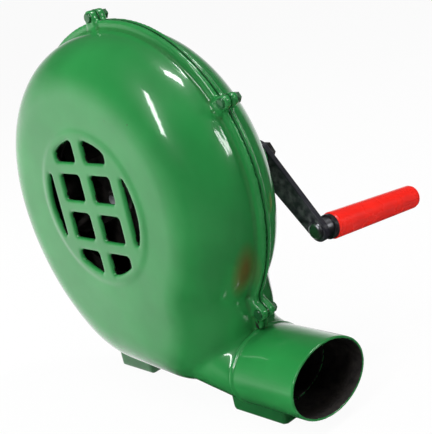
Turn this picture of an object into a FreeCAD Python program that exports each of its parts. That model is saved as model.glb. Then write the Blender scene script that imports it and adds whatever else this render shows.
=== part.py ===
import FreeCAD, Part
import math
import os
import re
import Sketcher

# Hand crank forge blower. Millimetres, +Z up, +X towards the outlet, +Y from the inlet grille to the crank.
# The origin is on the ground, in the middle of the four bench bolt holes and straight below the fan axis.

SIZES = {
    # scroll casing, as seen from the front: arcs that open out from the throat to the outlet
    "fan_height": (172, "fan axis above the ground"),
    "parting_y": (-26, "plane where the two shells meet"),
    "front_depth": (51, "parting plane to the flat front face"),
    "rear_depth": (38, "parting plane to the flat rear face"),
    "scroll_right": (124, "radius of the first arc, right side and top"),
    "scroll_left": (129, "radius of the second arc, upper left"),
    "scroll_lower_left": (155, "radius of the third arc, lower left"),
    "scroll_bottom": (90, "radius of the fourth arc, at the bottom"),
    "bottom_arc_start": (232, "direction where the fourth arc begins"),
    "bottom_slope": (4, "fall of the straight bottom towards the outlet"),
    "outlet_arc_x": (37, "centre of the last arc, towards the outlet from the fan axis"),
    "outlet_arc_drop": (87.4, "centre of the last arc, below the fan axis"),
    "throat_round": (16, "hollow radius of the throat corner"),
    "front_shoulder": (40, "rounding of the front face into the side wall"),
    "rear_shoulder": (34, "rounding of the rear face into the side wall"),
    "shell_wall": (3, "wall of both shells"),
    "duct_start": (30, "distance from the fan axis where the duct leaves the scroll"),
    "duct_drop_start": (108, "fan axis down to the duct centre at its start"),
    "duct_forward_start": (6, "duct centre at its start, in front of the parting plane"),
    "duct_half_width_start": (41, "half width of the duct at its start"),
    "duct_half_height_start": (41, "half height of the duct at its start"),
    # outlet tube and its sleeve, an oval
    "outlet_drop": (133, "fan axis down to the outlet centre line"),
    "outlet_half_width": (38.5, "half of the outlet's outer width"),
    "outlet_half_height": (27.8, "half of the outlet's outer height"),
    "sleeve_start": (98, "fan axis to the start of the sleeve"),
    "mouth_reach": (160, "fan axis to the mouth"),
    "sleeve_wall": (2, "wall of the sleeve"),
    "sleeve_ring_width": (3.2, "width of the raised ring at the sleeve's start"),
    "sleeve_ring_height": (1.3, "height of that ring"),
    "sleeve_ring_round": (1.2, "rounding of that ring"),
    "spigot_length": (26, "half tubes that the sleeve slides over"),
    "spigot_wall": (1.9, "wall of those half tubes"),
    "fixed_fit": (0.1, "clearance of pieces that do not move on each other"),
    # inlet window with its cast bars
    "window_radius": (53.7, "inlet window"),
    "window_pitch_x": (37.9, "spacing of the upright bars"),
    "window_pitch_z": (31, "spacing of the level bars"),
    "upright_bar": (13.6, "width of an upright bar"),
    "level_bar": (10.3, "width of a level bar"),
    "window_corner": (1.4, "rounding of the window corners"),
    "pad_radius": (62, "raised pad round the window"),
    "pad_height": (1, "height of that pad"),
    # flange, ears and their screws
    "flange_width": (7, "flange beyond the casing wall"),
    "flange_thickness": (4.6, "each flange"),
    "gasket_thickness": (0.6, "paper gasket between the flanges"),
    "ear_radius": (5.2, "bolt ear"),
    "ear_reach": (10.5, "casing wall to the ear's centre"),
    "ear_half_length": (6.6, "each half of an ear"),
    "ear_top_angle": (94, "ear at the top, from the outlet side"),
    "ear_pitch_angle": (64, "angle from ear to ear, but for the throat's ear"),
    "ear_throat_angle": (-40, "ear above the throat, from the outlet side"),
    "flange_screw_radius": (2, "M4 screw"),
    "flange_screw_head_radius": (3.7, "its pan head"),
    "flange_screw_head_height": (2.4, "height of that head"),
    "screw_head_round": (0.8, "rounding of that head"),
    "flange_nut_flats": (7, "across flats of its nut"),
    "flange_nut_thickness": (3.2, "thickness of its nut"),
    "screw_clearance": (0.25, "radial clearance of a screw hole"),
    "thread_excess": (1.5, "thread that stands out of any nut"),
    # gear train: two equal stages
    "tooth_module": (1.5, "module of all teeth"),
    "wheel_teeth": (43, "teeth of each large wheel"),
    "pinion_teeth": (12, "teeth of each pinion"),
    "pressure_angle": (25, "pressure angle of the teeth"),
    "mesh_slack": (0.25, "extra centre distance for backlash"),
    "idler_angle": (21.3, "direction from the fan spindle to the idler"),
    "crank_angle": (-5.6, "direction from the idler to the crank shaft"),
    "wheel_width": (7, "face width of a wheel"),
    "pinion_width": (8, "face width of a pinion"),
    "wheel_hub_radius": (11, "hub of a wheel"),
    "wheel_hub_rise": (0.5, "hub of a wheel beyond its teeth"),
    "plate_setback": (2, "parting plane to the gear plate"),
    "plate_thickness": (3, "gear plate"),
    "plate_margin": (9, "gear plate edge round a pillar"),
    "pillar_radius": (5.5, "pillar under the gear plate"),
    "pillar_gap": (4, "clearance between a wheel and a pillar"),
    "fan_pillar_reach": (26, "fan axis to the pillar beside it"),
    "fan_pillar_angle": (171, "direction of that pillar from the fan axis"),
    "idler_pillar_angle": (-75, "pillar below the idler, from the idler"),
    "low_pillar_angle": (-55, "lower pillar beside the crank shaft, from that shaft"),
    "high_pillar_angle": (113, "upper pillar beside the crank shaft, from that shaft"),
    "plate_screw_radius": (2, "M4 screw of the gear plate"),
    "plate_screw_depth": (12, "depth of that screw's hole in a pillar"),
    "layer_gap": (1.5, "gap between the parts of neighbouring layers"),
    # shafts and bushes
    "crank_shaft_radius": (6, "crank shaft"),
    "idler_shaft_radius": (4, "idler shaft"),
    "fan_spindle_radius": (4, "fan spindle"),
    "bush_wall": (2, "wall of a bush"),
    "bush_flange": (2, "flange of a bush beyond its body"),
    "bush_flange_thickness": (1.5, "thickness of that flange"),
    "running_fit": (0.05, "radial clearance of a turning shaft"),
    "end_float": (0.3, "axial play of a turning part"),
    "seat_fit": (0.02, "radial clearance of a piece fixed on a shaft or in a seat"),
    "spacer_wall": (1.2, "wall of the spacer tubes on the shafts"),
    "blind_floor": (2.5, "floor of a blind bearing boss"),
    "boss_inside": (4, "bearing boss inside the rear wall"),
    "boss_outside": (5, "blind bearing boss behind the rear wall"),
    "boss_wall": (4, "wall of a bearing boss round its bush"),
    "crank_boss_radius": (14, "round boss of the crank shaft"),
    "crank_boss_length": (10, "that boss behind the rear wall"),
    # impeller
    "impeller_radius": (92, "outside of the disc and the ring"),
    "impeller_eye": (56, "inside of the front ring"),
    "blade_root": (46, "inner radius of the blades"),
    "blade_tip": (90, "outer radius of the blades"),
    "blade_count": (10, "blades"),
    "blade_sweep": (32, "angle a blade runs through from root to tip"),
    "blade_bow": (5, "height of a blade's curve over its chord"),
    "blade_thickness": (1.2, "sheet of the blades"),
    "impeller_width": (34, "disc to ring"),
    "impeller_sheet": (1.5, "sheet of the disc and the ring"),
    "impeller_setback": (6, "parting plane to the back of the disc"),
    "hub_radius": (13, "impeller hub"),
    "hub_length": (16, "impeller hub"),
    "hub_nut_flats": (13, "across flats of the impeller nut"),
    "hub_nut_thickness": (6, "impeller nut"),
    "hub_neck_wall": (3.5, "wall of the hub's neck behind the disc"),
    "hub_rivet_count": (4, "rivets that hold the disc on the hub"),
    "hub_rivet_radius": (1.5, "one of those rivets"),
    "hub_rivet_inset": (3, "edge of the hub to a rivet's centre"),
    "hub_rivet_depth": (2.5, "rivet inside the hub"),
    "hub_rivet_head": (1, "height of a rivet's head"),
    "washer_margin": (2, "impeller washer beyond the flats of its nut"),
    # crank arm and handle
    "arm_length": (73, "crank shaft to handle pin"),
    "arm_hub_end": (11.5, "radius of the arm's end on the shaft"),
    "arm_pin_end": (8.4, "radius of the arm's end at the pin"),
    "arm_thickness": (5, "crank arm"),
    "arm_edge_round": (1, "rounding of the arm's edges"),
    "arm_angle": (-50.5, "direction of the arm at rest"),
    "arm_square": (8.4, "square on the shaft that drives the arm"),
    "thrust_washer_thickness": (1.2, "washer between boss and arm"),
    "thrust_washer_inset": (3, "edge of the boss to the edge of that washer"),
    "nut_washer_inset": (2, "end of the arm to the edge of the washer under the nut"),
    "crank_nut_flats": (14, "across flats of the nut on the arm"),
    "crank_nut_thickness": (6, "that nut"),
    "crank_thread_radius": (4, "thread at the shaft's end"),
    "pin_lean": (6.5, "lean of the handle pin from the crank's axis"),
    "pin_lean_angle": (-65, "direction of that lean at rest, seen from the front"),
    "pin_radius": (4, "handle pin"),
    "pin_head_radius": (6.5, "riveted head of the pin"),
    "pin_head_height": (3, "height of that head"),
    "pin_head_round": (2.4, "rounding of that head"),
    "pin_tip_radius": (4.9, "bulb at the pin's tip that keeps the grip on"),
    "pin_tip_length": (5, "length of that bulb"),
    "pin_tip_round": (0.8, "rounding of the bulb"),
    "pin_tip_play": (0.4, "end play of the bulb in its pocket"),
    "pin_tip_cover": (8, "grip beyond the bulb"),
    "collar_radius": (7.6, "grey collar between arm and grip"),
    "collar_thickness": (6.3, "that collar"),
    "ferrule_radius": (9.4, "black ring at the start of the grip"),
    "ferrule_thickness": (3.2, "that ring"),
    "grip_radius_start": (10.3, "grip at the arm"),
    "grip_radius_end": (9.3, "grip at its far end"),
    "grip_length": (96, "grip"),
    "grip_start_round": (1.2, "rounding of the grip at the arm"),
    "grip_dome": (6, "height of the dome at the grip's far end"),
    "grip_fit": (0.09, "radial clearance of the grip on its pin"),
    # feet
    "foot_hole_pitch_x": (160, "bench bolt holes, left to right"),
    "foot_hole_pitch_y": (44, "bench bolt holes, front to back"),
    "foot_hole_radius": (3.4, "bench bolt hole, tapped M8"),
    "foot_hole_depth": (9, "depth of that hole"),
    "left_foot_left": (-90, "left foot, left side"),
    "left_foot_right": (-45, "left foot, right side"),
    "left_foot_front": (-32, "left foot, front side"),
    "right_foot_left": (66, "right foot, left side"),
    "right_foot_right": (123, "right foot, right side"),
    "right_foot_front": (-42, "right foot, front side"),
    "foot_back": (38, "both feet, back side"),
    "left_saddle_top": (50, "left foot, top of the part under the casing"),
    "right_saddle_top": (24, "right foot, top of the part under the outlet"),
    "foot_plate_thickness": (12, "foot behind the casing"),
    "saddle_back": (4, "both feet, back of the part under the casing"),
    "foot_fillet": (3, "rounding of a foot's upright corners"),
}

doc = FreeCAD.newDocument("forge_blower")
sheet = doc.addObject("Spreadsheet::Sheet", "Sizes")
for row, (alias, (value, meaning)) in enumerate(SIZES.items(), start=1):
    sheet.set(f"A{row}", alias.replace("_", " "))
    sheet.set(f"B{row}", str(value))
    sheet.setAlias(f"B{row}", alias)
    sheet.set(f"C{row}", meaning)
doc.recompute()

parts = []


def mm(alias):
    return float(sheet.get(alias))


def bound(text):
    """Write an expression of plain aliases with the sheet's name before each."""
    words = re.split(r"([a-z_]{3,})", text)
    return "".join("Sizes." + word if word in SIZES else word for word in words)


def vector(x, y, z):
    return FreeCAD.Vector(x, y, z)


def keep(piece, label, place=None):
    """Name a finished sub-part and put it where it belongs."""
    piece.Label = label
    piece.Placement = place or FreeCAD.Placement()
    parts.append(piece)
    return piece


def shaped(label, shape, place=None):
    """A sub-part whose form has no plain feature: its shape is set as it is."""
    piece = doc.addObject("Part::Feature", label)
    piece.Shape = shape
    return keep(piece, label, place)


def plane_of(body, role):
    return [plane for plane in body.Origin.OriginFeatures if plane.Role == role][0]


def outline_sketch(body, name, role, corners):
    """A closed outline of straight lines, each corner held by two bound distances from the origin."""
    sketch = body.newObject("Sketcher::SketchObject", name)
    sketch.AttachmentSupport = [(plane_of(body, role), "")]
    sketch.MapMode = "FlatFace"
    count = len(corners)
    turn = 2 * math.pi / count
    start = [vector(3 + 2 * math.cos(turn * n), 2 * math.sin(turn * n), 0) for n in range(count)]
    for n in range(count):
        sketch.addGeometry(Part.LineSegment(start[n], start[(n + 1) % count]), False)
    for n in range(count):
        sketch.addConstraint(Sketcher.Constraint("Coincident", n, 2, (n + 1) % count, 1))
    for n, (across, along) in enumerate(corners):
        for kind, text, value in (("DistanceX", across, start[n].x), ("DistanceY", along, start[n].y)):
            index = sketch.addConstraint(Sketcher.Constraint(kind, -1, 1, n, 1, value))
            sketch.setExpression(f"Constraints[{index}]", bound(text))
    return sketch


def turned(label, corners, place):
    """A turned piece: corners are radius and distance along the Y axis."""
    body = doc.addObject("PartDesign::Body", label)
    sketch = outline_sketch(body, label + "_outline", "XY_Plane", corners)
    doc.recompute()
    turning = body.newObject("PartDesign::Revolution", label + "_turning")
    turning.Profile = sketch
    turning.ReferenceAxis = (sketch, ["V_Axis"])
    turning.Angle = 360
    sketch.Visibility = False
    doc.recompute()
    return keep(body, label, place)


def at(x, y, z):
    return FreeCAD.Placement(vector(x, y, z), FreeCAD.Rotation())


# Cutting bodies run past the faces that they cut, and edges are picked by place within a small distance

past = 1
near = 0.01


def rod(radius, start, end):
    """A plain rod along Y through the points start and end = (x, y, z)."""
    return Part.makeCylinder(radius, (end - start).Length, start, end - start)


def hexagon(flats, thickness, centre, lean=None):
    """A hexagon prism along Y that starts at centre."""
    reach = flats / math.sqrt(3)
    corners = [polar((0, 0), reach, 60 * n) for n in range(7)]
    outline = Part.makePolygon([vector(x, 0, z) for x, z in corners])
    prism = Part.Face(outline).extrude(vector(0, thickness, 0))
    prism.Placement = FreeCAD.Placement(centre, lean or FreeCAD.Rotation())
    return prism


# Places that several pieces share

fan_z = mm("fan_height")
parting = mm("parting_y")
face_y = parting - mm("front_depth")
back_y = parting + mm("rear_depth")
centre_distance = mm("tooth_module") * (mm("wheel_teeth") + mm("pinion_teeth")) / 2 + mm("mesh_slack")
wheel_tip = mm("tooth_module") * (mm("wheel_teeth") / 2 + 1)


def polar(origin, radius, degrees):
    """A point (x, z) at a distance and a direction from origin (x, z), seen from the front."""
    turn = math.radians(degrees)
    return (origin[0] + radius * math.cos(turn), origin[1] + radius * math.sin(turn))


fan_at = (0.0, fan_z)
idler_at = polar(fan_at, centre_distance, mm("idler_angle"))
crank_at = polar(idler_at, centre_distance, mm("crank_angle"))

plate_front = parting + mm("plate_setback")
plate_back = plate_front + mm("plate_thickness")
first_layer = plate_back + mm("bush_flange_thickness") + mm("layer_gap")
second_layer = first_layer + mm("pinion_width") + mm("layer_gap")
inside_back = back_y - mm("shell_wall")
boss_face = inside_back - mm("boss_inside")
boss_end = back_y + mm("boss_outside")
crank_boss_end = back_y + mm("crank_boss_length")


# Casing: the scroll's outline is arcs that meet smoothly, a straight bottom, and a hollow throat corner


def arc_about(centre, radius, first, last):
    """An arc in the XZ plane, from one direction to another in degrees, seen from the front."""
    ends = [polar(centre, radius, angle) for angle in (first, (first + last) / 2, last)]
    return Part.Arc(*[vector(x, 0, z) for x, z in ends]).toShape()


def scroll_wire(inset):
    """The scroll's outline, moved inwards by inset, about the fan axis."""
    names = ("scroll_right", "scroll_left", "scroll_lower_left", "scroll_bottom")
    right, left, lower_left, bottom = [mm(name) - inset for name in names]
    left_centre = (0.0, mm("scroll_right") - mm("scroll_left"))
    lower_centre = (mm("scroll_lower_left") - mm("scroll_left"), left_centre[1])
    turn = mm("bottom_arc_start")
    bottom_centre = polar(lower_centre, mm("scroll_lower_left") - mm("scroll_bottom"), turn)
    outlet_centre = (mm("outlet_arc_x"), -mm("outlet_arc_drop"))
    down = 270 - mm("bottom_slope")
    rise = (outlet_centre[0] - bottom_centre[0], outlet_centre[1] - bottom_centre[1])
    down_unit = polar((0, 0), 1, down)
    outlet = bottom - rise[0] * down_unit[0] - rise[1] * down_unit[1]
    corner = mm("throat_round") + inset
    between = math.hypot(*outlet_centre)
    first, second = right + corner, outlet + corner
    along = (between**2 + first**2 - second**2) / (2 * between)
    aside = math.sqrt(first**2 - along**2)
    unit = (outlet_centre[0] / between, outlet_centre[1] / between)
    corner_centre = (unit[0] * along - unit[1] * aside, unit[1] * along + unit[0] * aside)
    on_right = math.degrees(math.atan2(corner_centre[1], corner_centre[0]))
    rise = (corner_centre[0] - outlet_centre[0], corner_centre[1] - outlet_centre[1])
    on_outlet = math.degrees(math.atan2(rise[1], rise[0]))
    bottom_end, outlet_start = polar(bottom_centre, bottom, down), polar(outlet_centre, outlet, down)
    return Part.Wire([
        arc_about((0, 0), right, on_right, 90),
        arc_about(left_centre, left, 90, 180),
        arc_about(lower_centre, lower_left, 180, turn),
        arc_about(bottom_centre, bottom, turn, down),
        Part.makeLine(vector(bottom_end[0], 0, bottom_end[1]), vector(outlet_start[0], 0, outlet_start[1])),
        arc_about(outlet_centre, outlet, down - 360, on_outlet),
        arc_about(corner_centre, corner, on_outlet + 180, on_right + 180),
    ])


def rounded_scroll(inset):
    """The scroll as a full body with both shoulders rounded, moved inwards by inset."""
    front, back = face_y + inset, back_y - inset
    body = Part.Face(scroll_wire(inset)).extrude(vector(0, back - front, 0))
    body.translate(vector(0, front, fan_z))
    front_edges = [edge for edge in body.Edges if edge.BoundBox.YMax < front + near]
    body = body.makeFillet(mm("front_shoulder") - inset, front_edges)
    back_edges = [edge for edge in body.Edges if edge.BoundBox.YMin > back - near]
    return body.makeFillet(mm("rear_shoulder") - inset, back_edges)


def oval_wire(x, y, z, half_width, half_height):
    """An oval in the YZ plane at x."""
    centre = vector(x, y, z)
    if half_width >= half_height:
        oval = Part.Ellipse(vector(x, y + half_width, z), vector(x, y, z + half_height), centre)
    else:
        oval = Part.Ellipse(vector(x, y, z + half_height), vector(x, y + half_width, z), centre)
    return Part.Wire([oval.toShape()])


outlet_z = fan_z - mm("outlet_drop")


def outlet_oval(x, inset):
    return oval_wire(x, parting, outlet_z, mm("outlet_half_width") - inset, mm("outlet_half_height") - inset)


def outlet_bar(start, end, inset):
    """A full oval bar along the outlet."""
    return Part.Face(outlet_oval(start, inset)).extrude(vector(end - start, 0, 0))


def duct_body(inset):
    """The duct from the scroll to the outlet as a full body."""
    start = oval_wire(
        mm("duct_start"),
        parting - mm("duct_forward_start"),
        fan_z - mm("duct_drop_start"),
        mm("duct_half_width_start") - inset,
        mm("duct_half_height_start") - inset,
    )
    return Part.makeLoft([start, outlet_oval(mm("sleeve_start"), inset)], True, False)


spigot_outset = mm("sleeve_wall") + mm("fixed_fit")
tube_inset = spigot_outset + mm("spigot_wall")
spigot_end = mm("sleeve_start") + mm("spigot_length")
past_spigot = spigot_end + mm("shell_wall")

# A boolean can alter the shapes that it is given, so the ones used again are copied into it

casing_outer = rounded_scroll(0).fuse([duct_body(0)])
tube_inner = outlet_bar(mm("sleeve_start"), past_spigot, tube_inset)
casing_inner = rounded_scroll(mm("shell_wall")).fuse([duct_body(tube_inset), tube_inner])

pad_rise = mm("pad_height")
pad_base = vector(0, face_y, fan_z)
pad = Part.makeCone(mm("pad_radius"), mm("pad_radius") - 2 * pad_rise, pad_rise, pad_base, vector(0, -1, 0))
pad_face_y = face_y - pad_rise

flange = Part.Face(scroll_wire(-mm("flange_width"))).extrude(vector(0, 2 * mm("flange_thickness"), 0))
flange.translate(vector(0, parting - mm("flange_thickness"), fan_z))
sleeve_room = outlet_bar(mm("sleeve_start"), mm("mouth_reach"), -mm("sleeve_ring_height") - mm("fixed_fit"))
flange = flange.cut([sleeve_room])

# Ears stand on the flange, all as far outside the wall: four at equal angles, one above the throat

scroll_edge = scroll_wire(0)
ear_angles = [mm("ear_top_angle") + step * mm("ear_pitch_angle") for step in (-1, 0, 1, 2)]
ear_angles.append(mm("ear_throat_angle"))


def ear_centre(degrees):
    """Where a line from the fan axis meets the outline, moved out by the ear's reach."""
    far = polar((0, 0), 3 * mm("scroll_lower_left"), degrees)
    ray = Part.makeLine(vector(0, 0, 0), vector(far[0], 0, far[1]))
    touch = scroll_edge.distToShape(ray)[1][0][0]
    return polar(fan_at, math.hypot(touch.x, touch.z) + mm("ear_reach"), degrees)


ear_places = [(angle, ear_centre(angle)) for angle in ear_angles]


def ear_block(angle, centre):
    """The lug of an ear, with the web that joins it to the casing wall."""
    x, z = centre
    half = mm("ear_half_length")
    lug = rod(mm("ear_radius"), vector(x, parting - half, z), vector(x, parting + half, z))
    depth = mm("ear_reach") + mm("shell_wall") / 2
    web = Part.makeBox(depth, 2 * half, 2 * mm("ear_radius"), vector(-depth, -half, -mm("ear_radius")))
    web.Placement = FreeCAD.Placement(vector(x, parting, z), FreeCAD.Rotation(vector(0, -1, 0), angle))
    return lug.fuse([web])


ears = [ear_block(angle, centre) for angle, centre in ear_places]
screw_hole = mm("flange_screw_radius") + mm("screw_clearance")
head_seat = mm("flange_screw_head_height") / 2
ear_front = parting - mm("ear_half_length")
ear_back = parting + mm("ear_half_length")
head_hole = mm("flange_screw_head_radius") + mm("screw_clearance")
ear_cuts = []
for _, (x, z) in ear_places:
    before = vector(x, ear_front - past, z)
    ear_cuts.append(rod(screw_hole, before, vector(x, ear_back + past, z)))
    ear_cuts.append(rod(head_hole, before, vector(x, ear_front + head_seat, z)))

# Inlet window: a disc less three upright bars and three level bars, which stop at the outer uprights

window_front = pad_face_y - past
window_depth = pad_rise + mm("shell_wall") + 2 * past
window_start, window_end = [vector(0, y, fan_z) for y in (window_front, window_front + window_depth)]
window = rod(mm("window_radius"), window_start, window_end)
upright_width, level_height = mm("upright_bar"), mm("level_bar")
upright_reach, level_reach = mm("window_radius"), mm("window_pitch_x") + upright_width / 2
bars = []
for step in (-1, 0, 1):
    upright = Part.makeBox(upright_width, window_depth, 2 * upright_reach)
    upright_x = step * mm("window_pitch_x") - upright_width / 2
    upright.translate(vector(upright_x, window_front, fan_z - upright_reach))
    level = Part.makeBox(2 * level_reach, window_depth, level_height)
    level_z = fan_z + step * mm("window_pitch_z") - level_height / 2
    level.translate(vector(-level_reach, window_front, level_z))
    bars += [upright, level]
window_holes = window.cut(bars)
corner_edges = [edge for edge in window_holes.Edges if edge.BoundBox.YLength > window_depth - near]
corner_edges = [edge for edge in corner_edges if edge.Length < window_depth + near]
window_holes = window_holes.makeFillet(mm("window_corner"), corner_edges)

# Rear wall: bearing bosses, and pillars that carry the gear plate clear of the wheels

pillar_reach = wheel_tip + mm("pillar_radius") + mm("pillar_gap")
pillars_at = [
    polar(fan_at, mm("fan_pillar_reach"), mm("fan_pillar_angle")),
    polar(idler_at, pillar_reach, mm("idler_pillar_angle")),
    polar(crank_at, pillar_reach, mm("low_pillar_angle")),
    polar(crank_at, pillar_reach, mm("high_pillar_angle")),
]
pillars = [rod(mm("pillar_radius"), vector(x, plate_back, z), vector(x, back_y, z)) for x, z in pillars_at]
pillars = [pillar.common(casing_outer.copy()) for pillar in pillars]
screw_end = plate_back + mm("plate_screw_depth")
plate_screw_cuts = []
for x, z in pillars_at:
    before = vector(x, plate_front - past, z)
    plate_screw_cuts.append(rod(mm("plate_screw_radius"), before, vector(x, screw_end, z)))

crank_bush_radius = mm("crank_shaft_radius") + mm("running_fit") + mm("bush_wall")
idler_bush_radius = mm("idler_shaft_radius") + mm("running_fit") + mm("bush_wall")
fan_bush_radius = mm("fan_spindle_radius") + mm("running_fit") + mm("bush_wall")
seat_gap = mm("seat_fit")
blind_floor_y = boss_end - mm("blind_floor")
bosses, boss_cuts = [], []
for (x, z), bush_radius, boss_radius, end, cut_end in (
    (idler_at, idler_bush_radius, idler_bush_radius + mm("boss_wall"), boss_end, blind_floor_y),
    (fan_at, fan_bush_radius, fan_bush_radius + mm("boss_wall"), boss_end, blind_floor_y),
    (crank_at, crank_bush_radius, mm("crank_boss_radius"), crank_boss_end, crank_boss_end + past),
):
    bosses.append(rod(boss_radius, vector(x, boss_face, z), vector(x, end, z)))
    boss_cuts.append(rod(bush_radius + seat_gap, vector(x, boss_face - past, z), vector(x, cut_end, z)))

spigot = outlet_bar(mm("sleeve_start"), spigot_end, spigot_outset)
walls = casing_outer.copy().fuse([flange.copy(), pad, spigot] + ears).cut(casing_inner)


def slab(low, high):
    """Everything between two planes across Y."""
    reach = 4 * mm("scroll_lower_left")
    return Part.makeBox(reach, high - low, reach, vector(-reach / 2, low, fan_z - reach / 2))


half_gasket = mm("gasket_thickness") / 2
far = 2 * (mm("front_depth") + mm("rear_depth"))
front_half = walls.copy().common(slab(parting - far, parting - half_gasket))
rear_half = walls.copy().common(slab(parting + half_gasket, parting + far)).fuse(bosses + pillars)
gasket = walls.copy().common(slab(parting - half_gasket, parting + half_gasket))

shaped("flange_gasket", gasket.cut([tool.copy() for tool in ear_cuts]))
front_cuts = [tool.copy() for tool in ear_cuts] + [window_holes]
rear_cuts = [tool.copy() for tool in ear_cuts + plate_screw_cuts] + boss_cuts
shaped("front_shell", front_half.cut(front_cuts).removeSplitter())
shaped("rear_shell", rear_half.cut(rear_cuts).removeSplitter())

# Outlet sleeve: an oval tube with a raised ring where it starts

sleeve_start, mouth = mm("sleeve_start"), mm("mouth_reach")
sleeve = outlet_bar(sleeve_start, mouth, 0)
ring = outlet_bar(sleeve_start, sleeve_start + mm("sleeve_ring_width"), -mm("sleeve_ring_height"))
ring_rims = [edge for edge in ring.Edges if edge.BoundBox.XLength < near]
ring = ring.makeFillet(mm("sleeve_ring_round"), ring_rims)
sleeve = sleeve.fuse([ring.copy()]).cut([outlet_bar(sleeve_start - past, mouth + past, mm("sleeve_wall"))])
shaped("outlet_sleeve", sleeve.removeSplitter())

# Feet: blocks with a saddle that fits the casing, tapped from below for the bench bolts

casing_full = casing_outer.fuse([flange, outlet_bar(sleeve_start, mouth, 0), ring])


def foot(label, left, right, front, saddle_top):
    width, depth, thickness = right - left, mm("foot_back") - front, mm("foot_plate_thickness")
    plate = Part.makeBox(width, depth, thickness, vector(left, front, 0))
    saddle = Part.makeBox(width, mm("saddle_back") - front, saddle_top, vector(left, front, 0))
    block = plate.fuse([saddle]).removeSplitter()
    upright = [edge for edge in block.Edges if edge.BoundBox.ZLength > near]
    corners = [edge for edge in upright if edge.BoundBox.YLength < near]
    block = block.makeFillet(mm("foot_fillet"), corners)
    block = block.cut([casing_full.copy()])
    block = sorted(block.Solids, key=lambda solid: solid.BoundBox.ZMin)[0]
    x = math.copysign(mm("foot_hole_pitch_x") / 2, left)
    hole_depth = mm("foot_hole_depth") + past
    holes = []
    for step in (-1, 1):
        start = vector(x, step * mm("foot_hole_pitch_y") / 2, -past)
        holes.append(Part.makeCylinder(mm("foot_hole_radius"), hole_depth, start))
    return shaped(label, block.cut(holes))


for side in ("left", "right"):
    sides = [mm(f"{side}_foot_{edge}") for edge in ("left", "right", "front")]
    foot(side + "_foot", *sides, mm(side + "_saddle_top"))

# Flange screws and nuts, one of each at every ear

screws, nuts = [], []
seat = ear_front + head_seat
head_top = seat - mm("flange_screw_head_height")
shank_end = ear_back + mm("flange_nut_thickness") + mm("thread_excess")
for _, (x, z) in ear_places:
    head = rod(mm("flange_screw_head_radius"), vector(x, head_top, z), vector(x, seat, z))
    rim = [edge for edge in head.Edges if edge.BoundBox.YMax < head_top + near]
    head = head.makeFillet(mm("screw_head_round"), rim)
    screws.append(head.fuse([rod(mm("flange_screw_radius"), vector(x, seat, z), vector(x, shank_end, z))]))
    nut = hexagon(mm("flange_nut_flats"), mm("flange_nut_thickness"), vector(x, ear_back, z))
    thread_start = vector(x, ear_back - past, z)
    thread_end = vector(x, shank_end + past, z)
    nuts.append(nut.cut([rod(mm("flange_screw_radius") + seat_gap, thread_start, thread_end)]))
shaped("flange_screws", Part.makeCompound(screws))
shaped("flange_nuts", Part.makeCompound(nuts))

# Gear plate: a flat plate with round corners on the four pillars

corners = [vector(x, 0, z) for x, z in pillars_at]
plate = Part.Face(Part.makePolygon(corners + corners[:1])).makeOffset2D(mm("plate_margin"))
plate = plate.extrude(vector(0, mm("plate_thickness"), 0))
plate.translate(vector(0, plate_front - plate.BoundBox.YMin, 0))
plate_cuts = list(plate_screw_cuts)
bush_radii = (crank_bush_radius, idler_bush_radius, fan_bush_radius)
for (x, z), radius in zip((crank_at, idler_at, fan_at), bush_radii):
    before = vector(x, plate_front - past, z)
    plate_cuts.append(rod(radius + seat_gap, before, vector(x, plate_back + past, z)))
shaped("gear_plate", plate.cut(plate_cuts))

plate_screws = []
plate_screw_end = screw_end - mm("thread_excess")
for x, z in pillars_at:
    seat_at = vector(x, plate_front, z)
    head = rod(2 * mm("plate_screw_radius"), vector(x, plate_front - mm("plate_screw_radius"), z), seat_at)
    shank = rod(mm("plate_screw_radius") - seat_gap, seat_at, vector(x, plate_screw_end, z))
    plate_screws.append(head.fuse([shank]))
shaped("plate_screws", Part.makeCompound(plate_screws))


# Bushes: each a flanged tube, one in the gear plate and one in the rear wall


def bush(label, shaft, length_text, place):
    inner = f"{shaft} + running_fit"
    body = f"{inner} + bush_wall"
    rim = f"{body} + bush_flange"
    corners = [
        (inner, "0"),
        (rim, "0"),
        (rim, "bush_flange_thickness"),
        (body, "bush_flange_thickness"),
        (body, length_text),
        (inner, length_text),
    ]
    return turned(label, corners, place)


about_z = FreeCAD.Rotation(vector(0, 0, 1), 180)
plate_bush_length = "bush_flange_thickness + plate_thickness"
wall_bush_length = "bush_flange_thickness + boss_inside + shell_wall + boss_outside - blind_floor"
through_bush_length = "bush_flange_thickness + boss_inside + shell_wall + crank_boss_length"
plate_bush_face = plate_back + mm("bush_flange_thickness")
wall_bush_face = boss_face - mm("bush_flange_thickness")
for name, shaft, (x, z), rear_length in (
    ("crank", "crank_shaft_radius", crank_at, through_bush_length),
    ("idler", "idler_shaft_radius", idler_at, wall_bush_length),
    ("fan", "fan_spindle_radius", fan_at, wall_bush_length),
):
    front_place = FreeCAD.Placement(vector(x, plate_bush_face, z), about_z)
    bush(name + "_front_bush", shaft, plate_bush_length, front_place)
    bush(name + "_rear_bush", shaft, rear_length, at(x, wall_bush_face, z))

# Gears: true involute flanks, drawn as arcs through three points


def tooth_flank(base, radius, start):
    """A point of the involute at a radius, turned so that the tooth is centred on the X axis."""
    roll = math.sqrt(max((radius / base) ** 2 - 1, 0))
    angle = start - (roll - math.atan(roll))
    return vector(radius * math.cos(angle), 0, radius * math.sin(angle))


ROOT_DEPTH = 1.25


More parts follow.
